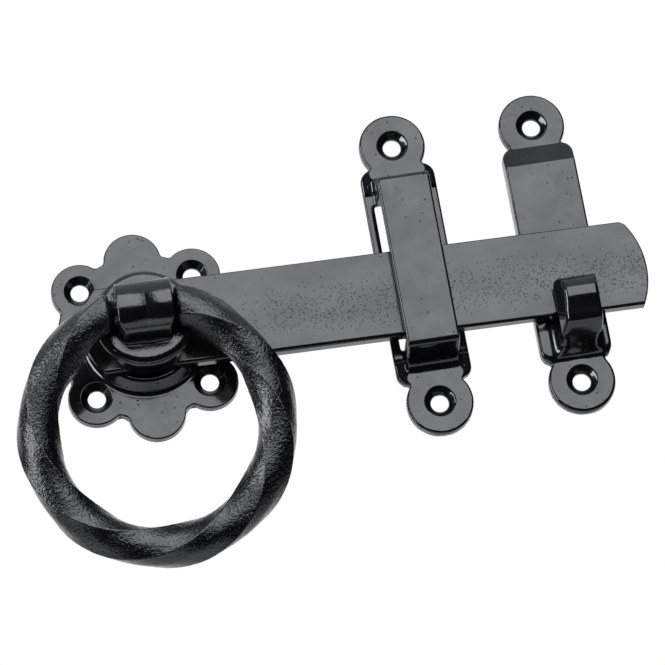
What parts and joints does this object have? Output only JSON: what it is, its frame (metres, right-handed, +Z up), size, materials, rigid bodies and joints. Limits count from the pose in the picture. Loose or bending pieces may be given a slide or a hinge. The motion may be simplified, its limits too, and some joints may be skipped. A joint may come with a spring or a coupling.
{
  "type": "ring gate latch",
  "caption": "Ring gate latch: a flat bar on a lobed rose plate is lifted by a hinged twisted ring, runs under a bridged keep and drops behind the hooked catch.",
  "frame": {"origin": "the spindle's axis where it crosses the back of the rose plate, which lies on the gate", "axes": "+X along the gate from the rose plate towards the catch, +Z up the gate, -Y straight out of the gate towards the person using the latch"},
  "size_m": [0.1941, 0.0935, 0.133],
  "materials": {
    "black_plate": "gloss",
    "black_bar": "gloss",
    "black_ring": "gloss",
    "zinc_steel": "satin"
  },
  "bodies": {
    "plates": {"rose_plate": "black_plate", "keep": "black_plate", "catch": "black_plate"},
    "latch": {"latch_bar": "black_bar", "ring_boss": "black_plate", "spindle": "zinc_steel", "spindle_washer": "zinc_steel", "split_pin": "zinc_steel"},
    "ring": {"ring_handle": "black_ring"}
  },
  "joints": [
    {"name": "latch_turn", "type": "hinge", "parent": "plates", "child": "latch", "pos_m": [0, 0, 0], "axis": [0, -1, 0], "range_deg": [0, 11.2]},
    {"name": "ring_swing", "type": "hinge", "parent": "latch", "child": "ring", "pos_m": [0, -0.0275, 0], "axis": [-0.9998, 0, 0.0192], "range_deg": [-1.5, 210.5]}
  ]
}
